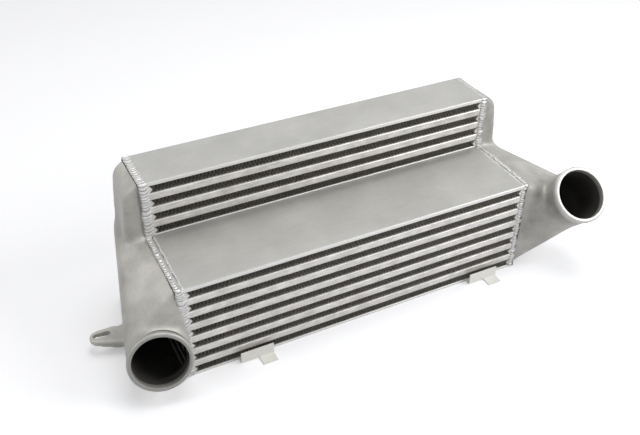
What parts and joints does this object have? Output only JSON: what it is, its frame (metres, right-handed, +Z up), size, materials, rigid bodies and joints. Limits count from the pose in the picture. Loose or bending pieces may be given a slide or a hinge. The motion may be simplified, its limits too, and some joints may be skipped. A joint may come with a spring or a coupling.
{
  "type": "charge-air cooler",
  "caption": "Stepped bar-and-plate charge-air cooler: a finned core, shallow above and deep below, with a cast tank and a round hose port at each end.",
  "frame": {"origin": "middle of the flat underside of the core", "axes": "+X along the core towards the end whose port points up, -Y towards the side that both hose ports face, +Z up from the underside to the shallow upper block"},
  "size_m": [0.7357, 0.2618, 0.233],
  "materials": {
    "plate": "brushed satin",
    "bar": "brazed satin",
    "fin": "dull, darkened by brazing",
    "casting": "fine sand-cast matte",
    "weld": "bright rippled bead",
    "tab": "satin sheet"
  },
  "bodies": {
    "root": {"top_plate": "plate", "riser_plate": "plate", "step_plate": "plate", "bottom_plate": "plate", "upper_fin_1": "fin", "upper_fin_2": "fin", "upper_fin_3": "fin", "upper_fin_4": "fin", "lower_fin_1": "fin", "lower_fin_2": "fin", "lower_fin_3": "fin", "lower_fin_4": "fin", "lower_fin_5": "fin", "lower_fin_6": "fin", "lower_fin_7": "fin", "upper_charge_tube_1": "bar", "upper_charge_tube_2": "bar", "upper_charge_tube_3": "bar", "lower_charge_tube_1": "bar", "lower_charge_tube_2": "bar", "lower_charge_tube_3": "bar", "lower_charge_tube_4": "bar", "lower_charge_tube_5": "bar", "lower_charge_tube_6": "bar", "upper_turbulator_1": "fin", "upper_turbulator_2": "fin", "upper_turbulator_3": "fin", "lower_turbulator_1": "fin", "lower_turbulator_2": "fin", "lower_turbulator_3": "fin", "lower_turbulator_4": "fin", "lower_turbulator_5": "fin", "lower_turbulator_6": "fin", "upper_left_header_bar_1": "bar", "upper_left_header_bar_2": "bar", "upper_left_header_bar_3": "bar", "upper_left_header_bar_4": "bar", "upper_right_header_bar_1": "bar", "upper_right_header_bar_2": "bar", "upper_right_header_bar_3": "bar", "upper_right_header_bar_4": "bar", "lower_left_header_bar_1": "bar", "lower_left_header_bar_2": "bar", "lower_left_header_bar_3": "bar", "lower_left_header_bar_4": "bar", "lower_left_header_bar_5": "bar", "lower_left_header_bar_6": "bar", "lower_left_header_bar_7": "bar", "lower_right_header_bar_1": "bar", "lower_right_header_bar_2": "bar", "lower_right_header_bar_3": "bar", "lower_right_header_bar_4": "bar", "lower_right_header_bar_5": "bar", "lower_right_header_bar_6": "bar", "lower_right_header_bar_7": "bar", "left_tank": "casting", "right_tank": "casting", "left_weld": "weld", "right_weld": "weld", "duct_tabs": "tab"}
  },
  "joints": []
}
